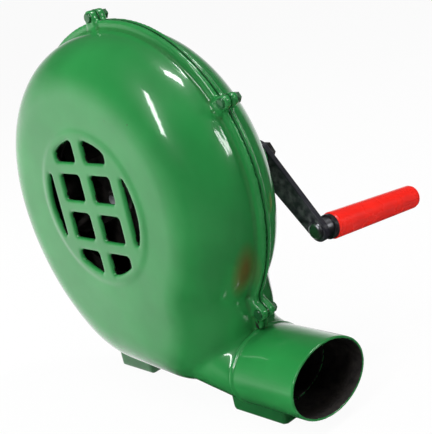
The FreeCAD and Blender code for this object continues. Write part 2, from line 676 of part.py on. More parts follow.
def gear_face(teeth):
    """The outline of a gear about the Y axis, with a tooth on +X."""
    module, pressure = mm("tooth_module"), math.radians(mm("pressure_angle"))
    pitch = module * teeth / 2
    base, tip, root = pitch * math.cos(pressure), pitch + module, pitch - ROOT_DEPTH * module
    start = math.pi / (2 * teeth) + math.tan(pressure) - pressure
    low = max(base, root)
    radii = (low, (low + tip) / 2, tip)
    upper = [tooth_flank(base, radius, start) for radius in radii]
    lower = [vector(point.x, 0, -point.z) for point in upper]
    foot_turn = math.degrees(math.atan2(upper[0].z, upper[0].x))
    pitch_turn = 360 / teeth
    edges = []
    for tooth in range(int(teeth)):
        step = pitch_turn * tooth
        turn = FreeCAD.Rotation(vector(0, -1, 0), step)
        here = [turn.multVec(point) for point in upper]
        there = [turn.multVec(point) for point in lower]
        next_foot = step + pitch_turn - foot_turn
        root_turns = (step - foot_turn, step + foot_turn, step + pitch_turn / 2, next_foot)
        root_points = [polar((0, 0), root, degrees) for degrees in root_turns]
        foot_there, foot_here, middle, foot_next = [vector(x, 0, z) for x, z in root_points]
        top = turn.multVec(vector(tip, 0, 0))
        if low > root + near:
            edges.append(Part.makeLine(foot_there, there[0]))
        edges.append(Part.Arc(*there).toShape())
        edges.append(Part.Arc(there[2], top, here[2]).toShape())
        edges.append(Part.Arc(here[2], here[1], here[0]).toShape())
        if low > root + near:
            edges.append(Part.makeLine(here[0], foot_here))
        edges.append(Part.Arc(foot_here, middle, foot_next).toShape())
    return Part.Face(Part.Wire(edges))


def gear(label, teeth, width, shaft_radius, place, low, turn, hub_radius=0, hub_length=0):
    """A gear from low along Y, turned about its axis, with a hub on its far side."""
    body = gear_face(teeth).extrude(vector(0, width, 0))
    if hub_radius:
        body = body.fuse([rod(hub_radius, vector(0, 0, 0), vector(0, width + hub_length, 0))])
    bore = rod(shaft_radius + seat_gap, vector(0, -past, 0), vector(0, width + hub_length + past, 0))
    spin = FreeCAD.Rotation(vector(0, -1, 0), turn)
    return shaped(label, body.cut([bore]), FreeCAD.Placement(vector(place[0], low, place[1]), spin))


def wheel(label, shaft, place, low, turn):
    """A large wheel with its hub."""
    hub = (mm("wheel_hub_radius"), mm("wheel_hub_rise"))
    gear(label, mm("wheel_teeth"), mm("wheel_width"), mm(shaft), place, low, turn, *hub)


def pinion(label, shaft, place, low, turn):
    """A small gear, turned by half a tooth so that it meshes with its wheel."""
    half_pitch = 180 / mm("pinion_teeth")
    gear(label, mm("pinion_teeth"), mm("pinion_width"), mm(shaft), place, low, turn + half_pitch)


narrower = (mm("pinion_width") - mm("wheel_width")) / 2
wheel_low = first_layer + narrower
second_wheel_low = second_layer + narrower
wheel("crank_wheel", "crank_shaft_radius", crank_at, wheel_low, mm("crank_angle") + 180)
pinion("idler_pinion", "idler_shaft_radius", idler_at, first_layer, mm("crank_angle"))
wheel("idler_wheel", "idler_shaft_radius", idler_at, second_wheel_low, mm("idler_angle") + 180)
pinion("fan_pinion", "fan_spindle_radius", fan_at, second_layer, mm("idler_angle"))

# Shafts and the spacer tubes that hold the wheels apart

arm_front = crank_boss_end + mm("end_float") + mm("thrust_washer_thickness")
arm_back = arm_front + mm("arm_thickness")
half_float = mm("end_float") / 2


def padded(label, role, corners, length_text, place, hole_text=None):
    """A prism: a straight sided outline, with or without a round hole in the middle."""
    body = doc.addObject("PartDesign::Body", label)
    sketch = outline_sketch(body, label + "_outline", role, corners)
    if hole_text:
        index = sketch.addGeometry(Part.Circle(vector(0, 0, 0), vector(0, 0, 1), 1), False)
        sketch.addConstraint(Sketcher.Constraint("Coincident", index, 3, -1, 1))
        radius = sketch.addConstraint(Sketcher.Constraint("Radius", index, 1.0))
        sketch.setExpression(f"Constraints[{radius}]", bound(hole_text))
    doc.recompute()
    block = body.newObject("PartDesign::Pad", label + "_pad")
    block.Profile = sketch
    block.setExpression("Length", bound(length_text))
    block.Reversed = True
    sketch.Visibility = False
    doc.recompute()
    return keep(body, label, place)


def spacers(label, place, shaft_radius, spans):
    """Plain tubes on one shaft, one for each stretch along Y."""
    outer, inner = shaft_radius + mm("spacer_wall"), shaft_radius + seat_gap
    tubes = []
    for low, high in spans:
        start, end = vector(place[0], low, place[1]), vector(place[0], high, place[1])
        tubes.append(rod(outer, start, end).cut([rod(inner, start, end)]))
    return shaped(label, Part.makeCompound(tubes))


wheel_full = mm("wheel_width") + mm("wheel_hub_rise")
first_wheel_end, second_wheel_end = wheel_low + wheel_full, second_wheel_low + wheel_full
front_end, rear_end = plate_bush_face + half_float, wall_bush_face - half_float
first_pinion_end, second_pinion_end = first_layer + mm("pinion_width"), second_layer + mm("pinion_width")
crank_spans = [(front_end, wheel_low), (first_wheel_end, rear_end)]
idler_spans = [(front_end, first_layer), (first_pinion_end, second_wheel_low), (second_wheel_end, rear_end)]
fan_spans = [(front_end, second_layer), (second_pinion_end, rear_end)]
spacers("crank_spacers", crank_at, mm("crank_shaft_radius"), crank_spans)
spacers("idler_spacers", idler_at, mm("idler_shaft_radius"), idler_spans)
spacers("fan_spacers", fan_at, mm("fan_spindle_radius"), fan_spans)

shaft_run = "(rear_depth - plate_setback + crank_boss_length + end_float + thrust_washer_thickness)"
shaft_full = shaft_run + " + arm_thickness + thrust_washer_thickness + crank_nut_thickness + thread_excess"
crank_shaft = turned(
    "crank_shaft",
    [
        ("0", "0"),
        ("crank_shaft_radius", "0"),
        ("crank_shaft_radius", shaft_run),
        ("crank_thread_radius", shaft_run),
        ("crank_thread_radius", shaft_full),
        ("0", shaft_full),
    ],
    at(crank_at[0], plate_front, crank_at[1]),
)
more, less = "arm_square / 2", "-arm_square / 2"
square_corners = [(more, more), (less, more), (less, less), (more, less)]
square_sketch = outline_sketch(crank_shaft, "crank_square", "XZ_Plane", square_corners)
square_sketch.setExpression("AttachmentOffset.Base.z", bound("-" + shaft_run))
doc.recompute()
square_pad = crank_shaft.newObject("PartDesign::Pad", "crank_square_pad")
square_pad.Profile = square_sketch
square_pad.setExpression("Length", bound("arm_thickness"))
square_pad.Reversed = True
square_sketch.Visibility = False
crank_shaft.Placement = FreeCAD.Placement(
    vector(crank_at[0], plate_front, crank_at[1]), FreeCAD.Rotation(vector(0, -1, 0), mm("arm_angle"))
)
doc.recompute()

idler_length = "rear_depth - plate_setback + boss_outside - blind_floor - 2 * end_float"
plain = [("0", "0"), ("idler_shaft_radius", "0"), ("idler_shaft_radius", idler_length), ("0", idler_length)]
turned("idler_shaft", plain, at(idler_at[0], plate_front + mm("end_float"), idler_at[1]))

disc_back = parting - mm("impeller_setback")
disc_front = disc_back - mm("impeller_sheet")
hub_front = disc_front - mm("hub_length")
hub_text = "impeller_setback + impeller_sheet + hub_length"
nut_text = "thrust_washer_thickness + hub_nut_thickness + thread_excess"
spindle_length = f"{hub_text} + {nut_text} + rear_depth + boss_outside - blind_floor - end_float"
spindle = "fan_spindle_radius"
plain = [("0", "0"), (spindle, "0"), (spindle, spindle_length), ("0", spindle_length)]
nut_front = hub_front - mm("thrust_washer_thickness") - mm("hub_nut_thickness")
spindle_start = nut_front - mm("thread_excess")
turned("fan_spindle", plain, at(0, spindle_start, fan_z))

# Impeller: hub, back disc, curved blades and front ring

hub_bore, hub_neck = "fan_spindle_radius + seat_fit", "fan_spindle_radius + hub_neck_wall"
neck_end = "hub_length + impeller_setback + impeller_sheet + plate_setback - end_float"
turned(
    "impeller_hub",
    [
        (hub_bore, "0"),
        ("hub_radius", "0"),
        ("hub_radius", "hub_length"),
        (hub_neck, "hub_length"),
        (hub_neck, neck_end),
        (hub_bore, neck_end),
    ],
    at(0, hub_front, fan_z),
)
ring_back = disc_back - mm("impeller_width") + mm("impeller_sheet")
for name, hole, front in (
    ("impeller_disc", hub_neck + " + seat_fit", disc_front),
    ("impeller_ring", "impeller_eye", ring_back - mm("impeller_sheet")),
):
    edge, sheet_text = "impeller_radius", "impeller_sheet"
    turned(name, [(hole, "0"), (edge, "0"), (edge, sheet_text), (hole, sheet_text)], at(0, front, fan_z))


def blade(turn):
    """One blade: a sheet bent to an arc between the root and the tip."""
    root = vector(mm("blade_root"), 0, 0)
    tip = FreeCAD.Rotation(vector(0, -1, 0), -mm("blade_sweep")).multVec(vector(mm("blade_tip"), 0, 0))
    chord = tip - root
    side = vector(-chord.z, 0, chord.x).normalize()
    bow, half = mm("blade_bow"), mm("blade_thickness") / 2
    sheet_sides = []
    for offset in (-half, half):
        middle = root + chord * 0.5 + side * (bow + offset)
        sheet_sides.append((root + side * offset, middle, tip + side * offset))
    first, second = sheet_sides
    outline = Part.Wire([
        Part.Arc(*first).toShape(),
        Part.makeLine(first[2], second[2]),
        Part.Arc(second[2], second[1], second[0]).toShape(),
        Part.makeLine(second[0], first[0]),
    ])
    sheet_body = Part.Face(outline).extrude(vector(0, disc_front - ring_back, 0))
    spin = FreeCAD.Rotation(vector(0, -1, 0), turn)
    sheet_body.Placement = FreeCAD.Placement(vector(0, ring_back, fan_z), spin)
    return sheet_body


blade_step = 360 / mm("blade_count")
shaped("impeller_blades", Part.makeCompound([blade(blade_step * n) for n in range(int(mm("blade_count")))]))

rivets = []
rivet_start, rivet_head_end = disc_front - mm("hub_rivet_depth"), disc_back + mm("hub_rivet_head")
rivet_step = 360 / mm("hub_rivet_count")
for n in range(int(mm("hub_rivet_count"))):
    x, z = polar(fan_at, mm("hub_radius") - mm("hub_rivet_inset"), rivet_step * (n + 0.5))
    shank = rod(mm("hub_rivet_radius"), vector(x, rivet_start, z), vector(x, disc_back, z))
    head = rod(2 * mm("hub_rivet_radius"), vector(x, disc_back, z), vector(x, rivet_head_end, z))
    rivets.append(shank.fuse([head]))
shaped("hub_rivets", Part.makeCompound(rivets))

washer_radius = "hub_nut_flats / 2 + washer_margin"
ring_corners = [
    ("fan_spindle_radius + seat_fit", "0"),
    (washer_radius, "0"),
    (washer_radius, "thrust_washer_thickness"),
    ("fan_spindle_radius + seat_fit", "thrust_washer_thickness"),
]
turned("impeller_washer", ring_corners, at(0, hub_front - mm("thrust_washer_thickness"), fan_z))


def hexagon_corners(flats):
    """The six corners of a nut, as expressions."""
    reach = f"{flats} / sqrt(3)"
    half, side = f"{reach} / 2", f"{flats} / 2"
    right_side = [(half, "-" + side), (reach, "0"), (half, side)]
    left_side = [("-" + half, side), ("-" + reach, "0"), ("-" + half, "-" + side)]
    return right_side + left_side


padded(
    "impeller_nut",
    "XZ_Plane",
    hexagon_corners("hub_nut_flats"),
    "hub_nut_thickness",
    at(0, nut_front, fan_z),
    "fan_spindle_radius + seat_fit",
)

# Crank: thrust washer, arm, washer and nut

thrust_edge = "crank_boss_radius - thrust_washer_inset"
thrust_corners = [
    ("crank_shaft_radius + running_fit", "0"),
    (thrust_edge, "0"),
    (thrust_edge, "thrust_washer_thickness"),
    ("crank_shaft_radius + running_fit", "thrust_washer_thickness"),
]
turned("thrust_washer", thrust_corners, at(crank_at[0], crank_boss_end + mm("end_float"), crank_at[1]))

pin_at = polar(crank_at, mm("arm_length"), mm("arm_angle"))
lean_x, lean_z = polar((0, 0), math.sin(math.radians(mm("pin_lean"))), mm("pin_lean_angle"))
lean_axis = vector(lean_x, math.cos(math.radians(mm("pin_lean"))), lean_z)
pin_root = vector(pin_at[0], arm_back, pin_at[1])
lean_place = FreeCAD.Placement(pin_root, FreeCAD.Rotation(vector(0, 1, 0), lean_axis))


def along_pin(radius, start, end):
    """A rod on the leaning axis of the handle pin, between two distances from the arm's back."""
    return rod(radius, pin_root + lean_axis * start, pin_root + lean_axis * end)


hub_end, pin_end = mm("arm_hub_end"), mm("arm_pin_end")
side_angle = math.degrees(math.acos((hub_end - pin_end) / mm("arm_length")))
hub_centre, pin_centre = (0, 0), (mm("arm_length"), 0)
upper = [polar(hub_centre, hub_end, side_angle), polar(pin_centre, pin_end, side_angle)]
outline = [
    arc_about(hub_centre, hub_end, side_angle, 360 - side_angle),
    Part.makeLine(*[vector(x, 0, -z) for x, z in upper]),
    arc_about(pin_centre, pin_end, -side_angle, side_angle),
    Part.makeLine(*[vector(x, 0, z) for x, z in reversed(upper)]),
]
arm = Part.Face(Part.Wire(outline)).extrude(vector(0, mm("arm_thickness"), 0))
arm = arm.makeFillet(mm("arm_edge_round"), [edge for edge in arm.Edges if edge.BoundBox.YLength < near])
half_square = mm("arm_square") / 2 + seat_gap
square_hole = Part.makeBox(2 * half_square, mm("arm_thickness") + 2 * past, 2 * half_square)
square_hole.translate(vector(-half_square, -past, -half_square))
arm = arm.cut([square_hole])
arm_turn = FreeCAD.Rotation(vector(0, -1, 0), mm("arm_angle"))
arm_place = FreeCAD.Placement(vector(crank_at[0], arm_front, crank_at[1]), arm_turn)
pin_hole = along_pin(mm("pin_radius") + seat_gap, -2 * mm("arm_thickness"), mm("arm_thickness"))
pin_hole.transformShape(arm_place.inverse().toMatrix())
shaped("crank_arm", arm.cut([pin_hole]), arm_place)

washer_edge = "arm_hub_end - nut_washer_inset"
washer_corners = [
    ("crank_thread_radius + seat_fit", "0"),
    (washer_edge, "0"),
    (washer_edge, "thrust_washer_thickness"),
    ("crank_thread_radius + seat_fit", "thrust_washer_thickness"),
]
turned("crank_nut_washer", washer_corners, at(crank_at[0], arm_back, crank_at[1]))
padded(
    "crank_nut",
    "XZ_Plane",
    hexagon_corners("crank_nut_flats"),
    "crank_nut_thickness",
    at(crank_at[0], arm_back + mm("thrust_washer_thickness"), crank_at[1]),
    "crank_thread_radius + seat_fit",
)

# Handle: the pin is riveted into the arm, and the grip turns on it and snaps over its bulb

grip_start = mm("collar_thickness") + mm("ferrule_thickness") + half_float
bulb_end = grip_start + mm("grip_length") - mm("pin_tip_cover")
bulb_start = bulb_end - mm("pin_tip_length")
head_centre = pin_root - lean_axis * (mm("arm_thickness") / lean_axis.y)
head = Part.makeCylinder(mm("pin_head_radius"), mm("pin_head_height"), head_centre, vector(0, -1, 0))
head_face_y = arm_front - mm("pin_head_height")
rim = [edge for edge in head.Edges if edge.BoundBox.YMax < head_face_y + near]
head = head.makeFillet(mm("pin_head_round"), rim)
pin_reach = 2 * mm("arm_thickness")
shank = along_pin(mm("pin_radius"), -pin_reach, bulb_start)
shank = shank.common(slab(arm_front, arm_front + 2 * mm("grip_length")))
bulb = along_pin(mm("pin_tip_radius"), bulb_start, bulb_end)
bulb = bulb.makeFillet(mm("pin_tip_round"), [edge for edge in bulb.Edges if edge.Closed])
shaped("handle_pin", head.fuse([shank, bulb]).removeSplitter())

collar_room = slab(arm_back, arm_back + 2 * mm("collar_thickness"))
collar = along_pin(mm("collar_radius"), -pin_reach, mm("collar_thickness")).common(collar_room)
collar_bore = along_pin(mm("pin_radius") + seat_gap, -pin_reach, mm("collar_thickness") + past)
shaped("handle_collar", collar.cut([collar_bore]))

ferrule = [
    ("pin_radius + seat_fit", "0"),
    ("ferrule_radius", "0"),
    ("ferrule_radius", "ferrule_thickness"),
    ("pin_radius + seat_fit", "ferrule_thickness"),
]
ferrule_place = FreeCAD.Placement(pin_root + lean_axis * mm("collar_thickness"), lean_place.Rotation)
turned("handle_ferrule", ferrule, ferrule_place)

pocket_start = "grip_length - pin_tip_cover - pin_tip_length - pin_tip_play"
pocket_end = "grip_length - pin_tip_cover + pin_tip_play"
dome = []
for degrees in (0, 20, 37, 57, 75):
    rise = f"grip_length - grip_dome + grip_dome * sin({degrees} deg)"
    dome.append((f"grip_radius_end * cos({degrees} deg)", rise))
grip_profile = [
    ("pin_radius + grip_fit", "0"),
    ("grip_radius_start - grip_start_round", "0"),
    ("grip_radius_start", "grip_start_round"),
    *dome,
    ("0", "grip_length"),
    ("0", pocket_end),
    ("pin_tip_radius + grip_fit", pocket_end),
    ("pin_tip_radius + grip_fit", pocket_start),
    ("pin_radius + grip_fit", pocket_start),
]
grip_place = FreeCAD.Placement(pin_root + lean_axis * grip_start, lean_place.Rotation)
turned("handle_grip", grip_profile, grip_place)

# Every sub-part is checked, then written

doc.recompute()
os.makedirs("parts", exist_ok=True)
for piece in parts:
    if "Invalid" in piece.State or "Error" in piece.State:
        raise ValueError(piece.Label + " did not build")
    if piece.Shape.isNull() or not piece.Shape.isValid():
        raise ValueError(piece.Label + " has no sound shape")
    piece.Shape.exportStep(f"parts/{piece.Label}.step")
    print(piece.Label, round(piece.Shape.Volume), len(piece.Shape.Solids))
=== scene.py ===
import math
import bmesh
import bpy
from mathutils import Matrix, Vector
from mathutils.bvhtree import BVHTree


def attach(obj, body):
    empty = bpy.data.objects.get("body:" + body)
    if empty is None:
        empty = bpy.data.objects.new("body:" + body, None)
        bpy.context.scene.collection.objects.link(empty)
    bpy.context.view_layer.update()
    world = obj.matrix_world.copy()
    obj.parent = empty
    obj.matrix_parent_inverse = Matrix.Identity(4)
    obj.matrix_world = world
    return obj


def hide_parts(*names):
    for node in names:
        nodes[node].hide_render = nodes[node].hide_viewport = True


# The hand crank forge blower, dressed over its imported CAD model.
# Metres, in the CAD frame: +X to the outlet, +Y from grille to crank, +Z up.
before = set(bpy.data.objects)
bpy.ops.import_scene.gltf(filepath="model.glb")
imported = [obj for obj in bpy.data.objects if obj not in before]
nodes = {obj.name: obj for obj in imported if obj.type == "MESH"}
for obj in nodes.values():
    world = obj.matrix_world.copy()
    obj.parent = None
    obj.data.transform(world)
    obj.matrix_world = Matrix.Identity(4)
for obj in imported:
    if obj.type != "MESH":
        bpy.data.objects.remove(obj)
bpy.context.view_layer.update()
scene = bpy.context.scene

# The casing: two iron castings, the front one with the grille, bolted flange to flange.
# Both were sprayed with one thick coat of green enamel, which rounds every edge
# and carries the slow waves of the sand casting under it.
enamel_green = (0.020, 0.235, 0.052, 1)
enamel_deep = (0.014, 0.190, 0.040, 1)
enamel_worn = (0.105, 0.330, 0.150, 1)
# Colour of the painted shade in the hollows of the enamel.
hollow_shade = (0.030, 0.040, 0.012, 1)
# Colour of a painted warm brown reflection by the flange.
reflected_brown = (0.120, 0.050, 0.010, 1)
chip_brown = (0.035, 0.030, 0.020, 1)


def joined(tree, kind, **inputs):
    """Add a node, set its plain inputs, and link the ones given as sockets."""
    node = tree.nodes.new(kind)
    for key, value in inputs.items():
        numbered = key[0] == "i" and key[1:].isdigit()
        socket = node.inputs[int(key[1:]) if numbered else key.replace("_", " ")]
        if isinstance(value, bpy.types.NodeSocket):
            tree.links.new(value, socket)
        else:
            socket.default_value = value
    return node


def blank_material(name):
    """A material with a Principled shader, and the object's own coordinates."""
    material = bpy.data.materials.new(name)
    material.use_nodes = True
    tree = material.node_tree
    shader = tree.nodes["Principled BSDF"]
    place = tree.nodes.new("ShaderNodeTexCoord").outputs["Object"]
    return material, tree, shader, place


def grain(tree, place, size, detail=2.0, rough=0.5):
    """Soft noise whose lumps are about size metres across."""
    noise = joined(tree, "ShaderNodeTexNoise", Vector=place, Scale=1 / size, Detail=detail, Roughness=rough)
    return noise.outputs["Fac"]


def spread(tree, value, low, high, start=0.0, end=1.0):
    """Map a value from low..high to start..end, held at both ends."""
    node = joined(tree, "ShaderNodeMapRange", i0=value, i1=low, i2=high, i3=start, i4=end)
    return node.outputs[0]


def blended(tree, amount, first, second):
    """Mix two colours, each a socket or a plain colour."""
    node = tree.nodes.new("ShaderNodeMix")
    node.data_type = "RGBA"
    for index, value in ((0, amount), (6, first), (7, second)):
        if isinstance(value, bpy.types.NodeSocket):
            tree.links.new(value, node.inputs[index])
        else:
            node.inputs[index].default_value = value
    return node.outputs[2]


def raised(tree, height, depth, under=None):
    """A bump of the given depth in metres, over another bump where one is given."""
    bump = joined(tree, "ShaderNodeBump", Height=height, Strength=1.0, Distance=depth)
    if under is not None:
        tree.links.new(under, bump.inputs["Normal"])
    return bump.outputs["Normal"]


# Where the painted brown reflection lies, by the flange on the outlet side, and how far it reaches.
brown_reflection_middle = (0.112, -0.040, 0.118)
brown_reflection_reach = (0.018, 0.012, 0.030)
chip_spacing = 0.009


def maths(tree, kind, first, second):
    """One sum of two numbers, each a socket or a plain number."""
    node = tree.nodes.new("ShaderNodeMath")
    node.operation = kind
    for socket, value in zip(node.inputs, (first, second)):
        if isinstance(value, bpy.types.NodeSocket):
            tree.links.new(value, socket)
        else:
            socket.default_value = value
    return node.outputs[0]


def moved(tree, kind, point, by=None):
    """One sum of a point with another point, or the point's own length."""
    node = joined(tree, "ShaderNodeVectorMath", i0=point)
    node.operation = kind
    if by is not None:
        node.inputs[1].default_value = by
    return node.outputs["Value" if kind == "LENGTH" else "Vector"]


def enamel(name, colour, deep, worn):
    """Thick sprayed enamel: slow waves, orange peel, chips, thin edges, painted shade in the hollows and
    one painted brown reflection.
    """
    material, tree, shader, place = blank_material(name)
    cloud = spread(tree, grain(tree, place, 0.055, 3.0), 0.35, 0.68)
    coat = blended(tree, cloud, deep, colour)
    edge = tree.nodes.new("ShaderNodeNewGeometry").outputs["Pointiness"]
    thin = spread(tree, edge, 0.53, 0.60, 0.0, 0.55)
    patchy = spread(tree, grain(tree, place, 0.009, 4.0), 0.42, 0.62)
    coat = blended(tree, maths(tree, "MULTIPLY", thin, patchy), coat, worn)
    # Painted shade: concave hollows, found by low pointiness, are darkened toward a dark olive.
    coat = blended(tree, spread(tree, edge, 0.43, 0.49, 0.75, 0.0), coat, hollow_shade)
    # Painted reflection: a warm brown patch round one point by the flange, fading outward.
    from_reflection = moved(tree, "DIVIDE", moved(tree, "SUBTRACT", place, brown_reflection_middle), brown_reflection_reach)
    reflected_patch = spread(tree, moved(tree, "LENGTH", from_reflection), 0.25, 1.0, 0.85, 0.0)
    coat = blended(tree, reflected_patch, coat, reflected_brown)
    cells = joined(tree, "ShaderNodeTexVoronoi", Vector=place, Scale=1 / chip_spacing)
    dot = spread(tree, cells.outputs["Distance"], 0.05, 0.09, 1.0, 0.0)
    few = spread(tree, grain(tree, place, 0.045, 2.0), 0.60, 0.66)
    chip = maths(tree, "MULTIPLY", dot, few)
    tree.links.new(blended(tree, chip, coat, chip_brown), shader.inputs["Base Color"])
    rough = spread(tree, grain(tree, place, 0.03, 5.0, 0.6), 0.3, 0.7, 0.28, 0.42)
    tree.links.new(rough, shader.inputs["Roughness"])
    waves = raised(tree, grain(tree, place, 0.028, 1.0), 0.00035)
    peel = raised(tree, grain(tree, place, 0.0022, 1.0), 0.000012, waves)
    tree.links.new(raised(tree, chip, 0.00008, peel), shader.inputs["Normal"])
    ripple = raised(tree, grain(tree, place, 0.007, 1.0), 0.00003)
    sheen = raised(tree, grain(tree, place, 0.026, 1.0), 0.0004, ripple)
    tree.links.new(sheen, shader.inputs["Coat Normal"])
    shader.inputs["Coat Weight"].default_value = 1.0
    shader.inputs["Coat Roughness"].default_value = 0.085
    shader.inputs["Specular IOR Level"].default_value = 0.3
    return material


def dress(obj, material):
    """Give every slot of an object one material."""
    obj.data.materials.clear()
    obj.data.materials.append(material)


def applied(form):
    """Make the modifiers' result the object's own mesh."""
    finished = form.evaluated_get(bpy.context.evaluated_depsgraph_get())
    form.data = bpy.data.meshes.new_from_object(finished)
    form.modifiers.clear()


def casting(node, grid, rounds):
    """A painted casting made from a CAD solid: an even mesh whose sharp edges are rubbed round."""
    mesh = nodes[node].data.copy()
    form = bpy.data.objects.new(node + "_casting", mesh)
    scene.collection.objects.link(form)
    shape = bmesh.new()
    shape.from_mesh(mesh)
    bmesh.ops.remove_doubles(shape, verts=shape.verts, dist=1e-6)
    shape.to_mesh(mesh)
    shape.free()
    even = form.modifiers.new("even", "REMESH")
    even.mode = "VOXEL"
    even.voxel_size = grid
    soft = form.modifiers.new("soft", "SMOOTH")
    soft.factor = 0.5
    soft.iterations = rounds
    applied(form)
    form.data.shade_smooth()
    return form


parting = -0.026
rub_rounds = 60


def eased(form, middle, reach, clear):
    """Rub a hollow corner round within reach of middle, seen from the front, but not near the flange."""
    region = form.vertex_groups.new(name="hollow")
    for vertex in form.data.vertices:
        point = vertex.co
        away = math.hypot(point.x - middle[0], point.z - middle[1]) / reach
        beside = (abs(point.y - parting) - clear) / clear
        weight = min(max(1.5 * (1 - away), 0), 1) * min(max(beside, 0), 1)
        if weight:
            region.add([vertex.index], weight, "REPLACE")
    rub = form.modifiers.new("rub", "SMOOTH")
    rub.vertex_group = "hollow"
    rub.factor = 0.5
    rub.iterations = rub_rounds
    applied(form)


# A face counts as outside where it can be seen from outside in more than a few of nine directions.
# A face that can't is given near-black painted shade, if nothing but one wall of the casing lies behind it.
looks_round = 8
first_look = 0.4
look_slant = 0.7
look_far = 0.4
looks_needed = 4
off_face = 0.0004
wall_layers = 0.006


def open_to_outside(walls, face, around):
    """Whether a face is open to the outside past the casing's own walls; the rest get painted shade."""
    side = face.normal.orthogonal().normalized()
    other = face.normal.cross(side)
    ways = [face.normal] + [face.normal * look_slant + side * c + other * s for c, s in around]
    start = face.center + face.normal * off_face
    open_ways = 0
    for way in ways:
        open_ways += walls.ray_cast(start, way, look_far)[0] is None
        if open_ways == looks_needed:
            return True
    wall_end = walls.ray_cast(face.center - face.normal * off_face, -face.normal, look_far)[0]
    if wall_end is None:
        return False
    behind = walls.ray_cast(wall_end - face.normal * wall_layers, -face.normal, look_far)[0]
    return behind is not None


def paint_and_shade_inside(forms, paint, inside_shade):
    """Give the forms both materials: paint where a face is open to the outside, and near-black painted
    shade elsewhere.
    """
    points, faces = [], []
    for form in forms:
        first = len(points)
        points += [vertex.co.copy() for vertex in form.data.vertices]
        faces += [[first + corner for corner in face.vertices] for face in form.data.polygons]
    walls = BVHTree.FromPolygons(points, faces)
    turns = [first_look + step * math.tau / looks_round for step in range(looks_round)]
    around = [(math.cos(turn), math.sin(turn)) for turn in turns]
    for form in forms:
        form.data.materials.clear()
        form.data.materials.append(paint)
        form.data.materials.append(inside_shade)
        for face in form.data.polygons:
            face.material_index = 0 if open_to_outside(walls, face, around) else 1


casing_green = enamel("casing_green", enamel_green, enamel_deep, enamel_worn)

# Inside, the castings are given painted shade: a near-black iron colour that stands in for the shade there,
# with the rough skin of the mould.
casing_inside_shade, tree, shader, place = blank_material("casing_inside_shade")
skin = spread(tree, grain(tree, place, 0.006, 5.0, 0.65), 0.3, 0.7)
inside_shade_colour = blended(tree, skin, (0.006, 0.005, 0.005, 1), (0.022, 0.018, 0.015, 1))
tree.links.new(inside_shade_colour, shader.inputs["Base Color"])
tree.links.new(raised(tree, skin, 0.0003), shader.inputs["Normal"])
tree.links.new(spread(tree, skin, 0.0, 1.0, 0.9, 0.6), shader.inputs["Roughness"])

shell_grid = 0.0014
shell_rounds = 6
throat = (0.078, 0.082)
throat_reach = 0.042
flange_clear = 0.009
castings = []
for node in ("front_shell", "rear_shell"):
    shell = casting(node, shell_grid, shell_rounds)
    eased(shell, throat, throat_reach, flange_clear)
    castings.append(shell)

# The outlet sleeve: a thin oval tube slid over the two half spigots, with a rolled ring
# where it starts. It is painted with the casing, and like it is given near-black painted shade inside.
sleeve_grid = 0.0009
sleeve_rounds = 3
outlet_height = 0.039
rim_facing = 0.6
sleeve = casting("outlet_sleeve", sleeve_grid, sleeve_rounds)
castings.append(sleeve)
paint_and_shade_inside(castings, casing_green, casing_inside_shade)
# Painted shade inside the sleeve: faces turned toward its axis, but not the rim, take the near-black
# material.
for face in sleeve.data.polygons:
    out_y, out_z = face.center.y - parting, face.center.z - outlet_height
    inward = face.normal.y * out_y + face.normal.z * out_z < 0
    face.material_index = 1 if inward and abs(face.normal.x) < rim_facing else 0
for form, node in zip(castings, ("front_shell", "rear_shell", "outlet_sleeve")):
    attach(form, "housing")
    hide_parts(node)

# The two feet: short iron blocks under the casing, with the rounder corners of a casting.
# They were painted with the rest, but are darker and less glossy, as painted shade for the shadow on them.
foot_shade_green = enamel("foot_shade_green", (0.014, 0.140, 0.034, 1), (0.009, 0.100, 0.024, 1), enamel_worn)
foot_shade_green.node_tree.nodes["Principled BSDF"].inputs["Coat Weight"].default_value = 0.4
foot_grid = 0.0012
foot_rounds = 4
for node in ("left_foot", "right_foot"):
    foot = casting(node, foot_grid, foot_rounds)
    dress(foot, foot_shade_green)
    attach(foot, "housing")
    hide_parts(node)

# The gasket: oiled paper, cut to the flanges and clamped between them.
# The paint runs over its edge and leaves a darker line.
seam_lit = (0.010, 0.120, 0.028, 1)
seam_dark = (0.006, 0.060, 0.015, 1)
seam_worn = (0.020, 0.160, 0.040, 1)
seam_green = enamel("seam_green", seam_lit, seam_dark, seam_worn)
dress(nodes["flange_gasket"], seam_green)


# The inner fasteners, and the nut and washers of the crank: steel with a dark oil finish.
# Turning marks run round each piece, and stains and grime lie over them.
turning_scale = (900.0, 5200.0, 900.0)


def metal(name, colour, dark, roughness, scratch):
    """Bare or oiled metal with turning marks, stains and a little dull grime."""
    material, tree, shader, place = blank_material(name)
    stain = spread(tree, grain(tree, place, 0.012, 5.0, 0.65), 0.35, 0.7)
    tree.links.new(blended(tree, stain, dark, colour), shader.inputs["Base Color"])
    stretched = moved(tree, "MULTIPLY", place, turning_scale)
    tree.links.new(raised(tree, grain(tree, stretched, 1.0), scratch), shader.inputs["Normal"])
    dull = spread(tree, stain, 0.0, 1.0, roughness + 0.2, roughness)
    tree.links.new(dull, shader.inputs["Roughness"])
    shader.inputs["Metallic"].default_value = 1.0
    return material


dark_oxide = metal("dark_oxide", (0.13, 0.13, 0.135, 1), (0.030, 0.028, 0.026, 1), 0.32, 0.000004)
for node in ("plate_screws", "crank_nut_washer", "crank_nut", "thrust_washer"):
    dress(nodes[node], dark_oxide)

# The flange screws and nuts: small pan heads and hexagons at the ears, steel under the same spray.
# The paint is thin on them and rubbed at the corners by the spanner.
screw_lit = (0.012, 0.120, 0.032, 1)
screw_dark = (0.006, 0.050, 0.016, 1)
screw_worn = (0.10, 0.16, 0.11, 1)
screw_green = enamel("screw_green", screw_lit, screw_dark, screw_worn)
for node in ("flange_screws", "flange_nuts"):
    dress(nodes[node], screw_green)

